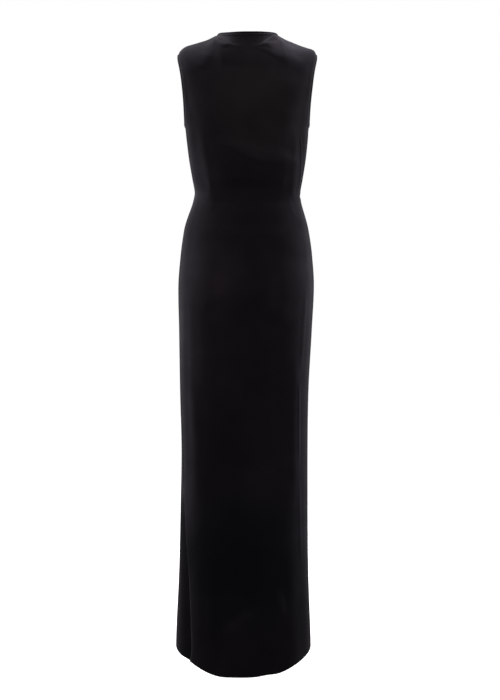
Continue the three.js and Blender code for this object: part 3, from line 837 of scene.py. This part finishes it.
for name, is_back in {"back_skirt": True, "front_skirt": False}.items():
    points, angle, edges = skirt_grid(is_back)
    normals = grid_normals(points, -1)
    points = points + normals * skirt_relief(points, angle, edges)[..., None]
    cloths[name] = cloth_from_grid(name, points, 1, light_and_tint_of(angle, points, is_back))

for name, cloth in cloths.items():
    print(name, len(cloth.data.polygons), "faces before thickness")

# %% [markdown]
# ## Velvet
#
# Velvet is a short dense pile standing on a thin knit. Light goes in between the fibres and is
# lost, so the cloth is nearly black where it is seen square on, and the sides of the fibres catch
# light where it turns away. The Principled shader's sheen does the same, with less say over where
# the lightening starts. So only a trace of sheen is kept, and the rest is a sheen painted into the
# base colour: Layer Weight says how far the cloth is turned away, and two smooth ramps, the second
# of them at the rim, add the painted sheen. The painted light and shade multiplies it all. The pile
# itself is far finer than the mesh, so it is a bump of fine noise, drawn out along the lie of the
# pile.


# %% Shader maths as plain expressions
class Wire:
    """One socket of a material. Sums and products of wires add the Math nodes for them."""

    def __init__(self, finish, socket):
        self.finish, self.socket = finish, socket

    def math(self, operation, other):
        inputs = {0: self, 1: other}
        return self.finish.node("ShaderNodeMath", {"operation": operation}, inputs)

    def __add__(self, other):
        return self.math("ADD", other)

    def __mul__(self, other):
        return self.math("MULTIPLY", other)

    __radd__ = __add__
    __rmul__ = __mul__


# %% A material, node by node
class Finish:
    """A material that is built node by node."""

    def __init__(self, name):
        self.material = bpy.data.materials.new(name)
        self.material.use_nodes = True
        self.tree = self.material.node_tree
        self.tree.nodes.clear()

    def fill(self, sockets, values):
        """Each value goes into its socket, as a link if it is a wire."""
        for name, value in dict(values).items():
            if isinstance(value, Wire):
                self.tree.links.new(value.socket, sockets[name])
            else:
                sockets[name].default_value = value

    def node(self, kind, settings=(), inputs=(), output=0):
        """Any node: its type, its settings, what its sockets get, and the output wanted."""
        made = self.tree.nodes.new(kind)
        for name, value in dict(settings).items():
            setattr(made, name, value)
        self.fill(made.inputs, inputs)
        return Wire(self, made.outputs[output]) if made.outputs else None

    def mix(self, factor, first, second, how="MIX"):
        """Two colours mixed, added or multiplied, and the factor isn't held to 1."""
        mixed = self.tree.nodes.new("ShaderNodeMix")
        mixed.data_type = "RGBA"
        mixed.blend_type = how
        mixed.clamp_factor = False
        sockets = {s.name: s for s in mixed.inputs if s.enabled}
        self.fill(sockets, {"Factor": factor, "A": first, "B": second})
        return Wire(self, next(s for s in mixed.outputs if s.enabled))

    def ramp(self, value, low, high, top):
        """A smooth rise from 0 to top as value goes from low to high."""
        settings = {"interpolation_type": "SMOOTHSTEP"}
        inputs = {"Value": value, "From Min": low, "From Max": high, "To Min": 0.0, "To Max": top}
        return self.node("ShaderNodeMapRange", settings, inputs)


# %% The velvet
# the black seen square on, and the colour of the painted sheen added where the cloth turns away
COOL, WARM_BLACK = (0.0030, 0.00225, 0.0032, 1), (0.0031, 0.0024, 0.0025, 1)
COLD = (0.0023, 0.00225, 0.0033, 1)
PAINTED_SHEEN_COLOUR, COLD_PAINTED_SHEEN_COLOUR = (0.0024, 0.0022, 0.0026, 1), (0.0022, 0.0022, 0.0026, 1)
# the two ramps of painted sheen: from, to, and how much of the painted sheen colour
SHEEN_RAMP_TURNED, SHEEN_RAMP_RIM = (0.08, 0.42, 5.5), (0.38, 0.75, 9.5)  # from, to, how much of the fibres' colour
# the least light of the pile, and what small and large patches add
PLAIN, NAP, BROAD = 0.4, 0.5, 0.7
PAINTED = ("painted_light_and_shade", "pile_warmth", "pile_cold")


def velvet(name, depth):
    """Velvet as dark as depth says: 1 for the cloth, less for a strip painted darker as painted
    shade.
    """
    cloth = Finish(name)

    def painted_number(kind):
        return cloth.node("ShaderNodeAttribute", {"attribute_name": kind}, output="Fac")

    place = cloth.node("ShaderNodeTexCoord", output="Object")
    lie = cloth.node("ShaderNodeMapping", inputs={"Vector": place, "Scale": (1, 1, 0.4)})
    pile = cloth.node("ShaderNodeTexNoise", inputs={"Vector": lie, "Scale": 1500.0, "Detail": 2.0})
    nap = cloth.node("ShaderNodeTexNoise", inputs={"Vector": place, "Scale": 26.0, "Detail": 3.0})
    broad = cloth.node("ShaderNodeTexNoise", inputs={"Vector": place, "Scale": 9.0, "Detail": 2.0})
    painted_shading, warmth, cold = (painted_number(kind) for kind in PAINTED)
    facing = cloth.node("ShaderNodeLayerWeight", inputs={"Blend": 0.5}, output="Facing")
    # painted sheen: the base colour lightens where the cloth turns away from the view
    painted_sheen_amount = cloth.ramp(facing, *SHEEN_RAMP_TURNED) + cloth.ramp(facing, *SHEEN_RAMP_RIM)
    black = cloth.mix(cold, cloth.mix(warmth, COOL, WARM_BLACK), COLD)
    black_with_painted_sheen = cloth.mix(painted_sheen_amount, black, cloth.mix(cold, PAINTED_SHEEN_COLOUR, COLD_PAINTED_SHEEN_COLOUR), "ADD")
    # shade: the painted light and shade, times random patches of nap, times depth, which paints the
    # binding darker as painted shade
    shade = painted_shading * (PLAIN + nap * NAP + broad * BROAD) * depth
    relief = cloth.node(
        "ShaderNodeBump", inputs={"Strength": 0.35, "Distance": 0.25 * MM, "Height": pile}
    )
    surface = cloth.node(
        "ShaderNodeBsdfPrincipled",
        inputs={
            "Base Color": cloth.mix(1.0, black_with_painted_sheen, shade, "MULTIPLY"),
            "Roughness": 0.86 + pile * 0.1,
            "Specular IOR Level": 0.04,
            "Sheen Weight": 0.02,
            "Sheen Roughness": 0.42,
            "Sheen Tint": (0.95, 0.85, 1.0, 1),
            "Normal": relief,
        },
    )
    cloth.node("ShaderNodeOutputMaterial", inputs={"Surface": surface})
    return cloth.material


velvet_cloth = velvet("velvet", 1.0)
for cloth in cloths.values():
    cloth.data.materials.append(velvet_cloth)
print("velvet:", len(velvet_cloth.node_tree.nodes), "nodes")

# %% [markdown]
# ## Bound edges
#
# A strip of the same velvet is folded over the raw edge of the neck and of each armhole, and
# stitched. It shows as a thin rolled edge, darker than the cloth beside it: its round back faces up
# or out, and its velvet is painted darker as painted shade. It is made as a channel: a
# horseshoe-shaped section that follows the edge, with the cloth held between its two legs.

# %% Section of the channel
BINDING_TOP = 4.1
LEG = 0.3  # the legs are straight this far either side of the cloth's edge
LIP = 0.25  # how far their ends turn in
OUTER_REACH, INNER_REACH = 0.9, -2.9  # out from the cloth's outer face
GROOVE_OUT, GROOVE_IN, GROOVE_DEPTH = 0.1, -1.4, 0.9  # the groove that holds the cloth
ARCH_POINTS = 9


def channel_section():
    """Points round the channel: how far off the cloth's edge, and how far out from its face."""
    middle, half = (OUTER_REACH + INNER_REACH) / 2, (OUTER_REACH - INNER_REACH) / 2
    bow = BINDING_TOP - half
    arch = [
        (bow + half * math.sin(turn), middle + half * math.cos(turn))
        for turn in np.linspace(0, math.pi, ARCH_POINTS)
    ]
    outer_leg = [(-LEG, OUTER_REACH - LIP), (LEG, OUTER_REACH)]
    inner_leg = [(LEG, INNER_REACH), (-LEG, INNER_REACH + LIP)]
    groove = [(-LEG, GROOVE_IN), (GROOVE_DEPTH, GROOVE_IN), (GROOVE_DEPTH, GROOVE_OUT)]
    return [*outer_leg, *arch, *inner_leg, *groove, (-LEG, GROOVE_OUT)]


print(len(channel_section()), "points round the channel")


# %% A channel along an edge
def unit(vectors):
    return vectors / np.linalg.norm(vectors, axis=1, keepdims=True)


def binding_along(name, edge, out, away):
    """edge and out are the edge's points and the outward directions there; away points off it."""
    tangent = unit(np.roll(edge, -1, axis=0) - np.roll(edge, 1, axis=0))
    off = unit(np.cross(tangent, out))
    off *= np.sign((off * away).sum(axis=1, keepdims=True))
    section = np.array(channel_section())
    points = (
        edge[:, None, :]
        + section[None, :, 0:1] * off[:, None, :]
        + section[None, :, 1:2] * out[:, None, :]
    )
    count, sides = points.shape[:2]
    index = np.arange(count * sides).reshape(count, sides)
    ahead, round_on = np.roll(index, -1, axis=0), np.roll(index, -1, axis=1)
    both = np.roll(ahead, -1, axis=1)
    quads = np.stack([index, round_on, both, ahead], axis=-1).reshape(-1, 4)
    mesh = bpy.data.meshes.new(name)
    mesh.from_pydata((points.reshape(-1, 3) * MM).tolist(), [], quads.tolist())
    mesh.polygons.foreach_set("use_smooth", np.ones(len(quads), bool))
    # the binding gets no painted light or shade of its own: 1 everywhere
    painted_shading = mesh.attributes.new("painted_light_and_shade", "FLOAT", "POINT")
    painted_shading.data.foreach_set("value", np.ones(count * sides))
    strip = bpy.data.objects.new(name + "_strip", mesh)
    bpy.context.scene.collection.objects.link(strip)
    return strip


back_points, front_points = (bodice_grid(is_back)[0] for is_back in (True, False))
back_out, front_out = grid_normals(back_points, 1), grid_normals(front_points, -1)

# %% [markdown]
# The neck edge is followed along the back piece and home along the front one. There the cloth
# lies nearly level and a binding square to it would lie flat, so its outward direction is turned
# about half way to level and it stands up. Each armhole is followed up the back piece and down
# the front one.

# %% Bind the neck
NECK_UPRIGHT = 0.55
UP = np.array([[0, 0, 1.0]])


def once_round(back, front):
    """Two half edges that meet at both ends, joined into one closed line."""
    return np.concatenate([back, front[-2:0:-1]])


on_neck = np.abs(bodice_steps()) <= NECK_STEPS + ON_SEAM
neck_edge = once_round(back_points[-1, on_neck], front_points[-1, on_neck])
neck_out = once_round(back_out[-1, on_neck], front_out[-1, on_neck])
level = unit(neck_edge * np.array([[1 / NECK_LEFT_HALF**2, 1 / NECK_BACK_DEPTH**2, 0]]))
neck_out = unit(lerp(neck_out, level, NECK_UPRIGHT))
bindings = {"neck_binding": binding_along("neck_binding", neck_edge, neck_out, UP)}
print("neck edge:", len(neck_edge), "points")

# %% Bind the armholes
underarm = int(np.argmin(np.abs(bodice_heights() - UNDERARM_Z)))
tip = len(bodice_heights()) - 1 - underarm
middle = np.array([0, 0, (UNDERARM_Z + SHOULDER_TIP_Z) / 2])
for name, column in {"left_armhole_binding": -1, "right_armhole_binding": 0}.items():
    edge = once_round(back_points[underarm:, column], front_points[underarm:, column])
    out = once_round(back_out[underarm:, column], front_out[underarm:, column])
    edge[[0, tip], 1] = 0
    out[[0, tip], 1] = 0
    away = (middle - edge) * np.array([[0, 1, 1]])
    bindings[name] = binding_along(name, edge, out, away)

# painted shade: the binding's velvet is 0.6 as light as the cloth's
binding_shaded_velvet = velvet("binding velvet", 0.6)
for strip in bindings.values():
    strip.data.materials.append(binding_shaded_velvet)
    print(strip.name, len(strip.data.polygons), "faces")

# %% [markdown]
# ## Floor and light
#
# The dress stands out against a pale, evenly lit studio. A large soft light from above and
# behind the camera models the back; two tall soft lights at the sides bring out the edges, which
# is where velvet shows itself. The white surround is seen by the camera but sends no light, so
# that the black stays deep.

# %% Surround and floor
FLOOR_Z = -1545 * MM
FLOOR_RADIUS, SURROUND_RADIUS = 14, 13.5


def plain_white(name, strength):
    finish = Finish(name)
    glow = finish.node("ShaderNodeEmission", inputs={"Color": (1, 1, 1, 1), "Strength": strength})
    finish.node("ShaderNodeOutputMaterial", inputs={"Surface": glow})
    return finish.material


def pale_floor(name):
    finish = Finish(name)
    surface = finish.node(
        "ShaderNodeBsdfPrincipled",
        inputs={
            "Base Color": (0.9, 0.9, 0.9, 1),
            "Roughness": 0.9,
            "Specular IOR Level": 0.0,
            "Emission Color": (1, 1, 1, 1),
            "Emission Strength": 0.75,
        },
    )
    finish.node("ShaderNodeOutputMaterial", inputs={"Surface": surface})
    return finish.material


def stage_piece(name, mesh_call, material, **where):
    mesh_call(**where)
    made = bpy.context.object
    made.name = name
    made.data.materials.append(material)
    made.visible_diffuse = made.visible_glossy = False
    return made


floor = stage_piece("floor", bpy.ops.mesh.primitive_circle_add, pale_floor("pale floor"),
                    radius=FLOOR_RADIUS, vertices=64, fill_type="NGON", location=(0, 0, FLOOR_Z))
surround = stage_piece("surround", bpy.ops.mesh.primitive_uv_sphere_add,
                       plain_white("white surround", 1.0),
                       radius=SURROUND_RADIUS, segments=48, ring_count=24,
                       location=(0, 0, FLOOR_Z))
surround.visible_shadow = False
print(floor.name, round(abs(FLOOR_Z) / MM), "mm below the shoulders")


# %% Lights
def soft_light(name, place, aim, size, power):
    light = bpy.data.lights.new(name, "AREA")
    light.shape = "RECTANGLE"
    light.size, light.size_y = size
    light.energy = power
    lamp = bpy.data.objects.new(name, light)
    lamp.location = place
    x, y, z = np.array(aim) - np.array(place)
    lamp.rotation_euler = (math.atan2(math.hypot(x, y), -z), 0, math.atan2(-x, y))
    lamp.visible_camera = False
    bpy.context.scene.collection.objects.link(lamp)


soft_light("key", (0.2, 2.2, 1.5), (0, 0, -0.4), (2.2, 1.4), 100)
soft_light("left side", (2.6, 0.5, -0.3), (0, 0, -0.7), (1.0, 2.6), 30)
soft_light("right side", (-2.6, 0.5, -0.3), (0, 0, -0.7), (1.0, 2.6), 30)
soft_light("front fill", (0, -3.4, 1.2), (0, 0, -0.5), (2.6, 1.8), 100)

world = bpy.data.worlds.new("studio")
world.use_nodes = True
world.node_tree.nodes["Background"].inputs["Color"].default_value = (1, 1, 1, 1)
world.node_tree.nodes["Background"].inputs["Strength"].default_value = 0.35
bpy.context.scene.world = world
bpy.context.scene.view_settings.view_transform = "Standard"

# %% [markdown]
# ## What each piece stands for
#
# Each piece rides on the one body of the dress and stands for its packed wall, which is hidden.

for name, cloth in cloths.items():
    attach(cloth, "root")
    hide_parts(name)
for name, strip in bindings.items():
    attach(strip, "root")
    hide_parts(name)
print(len(cloths) + len(bindings), "pieces declared")
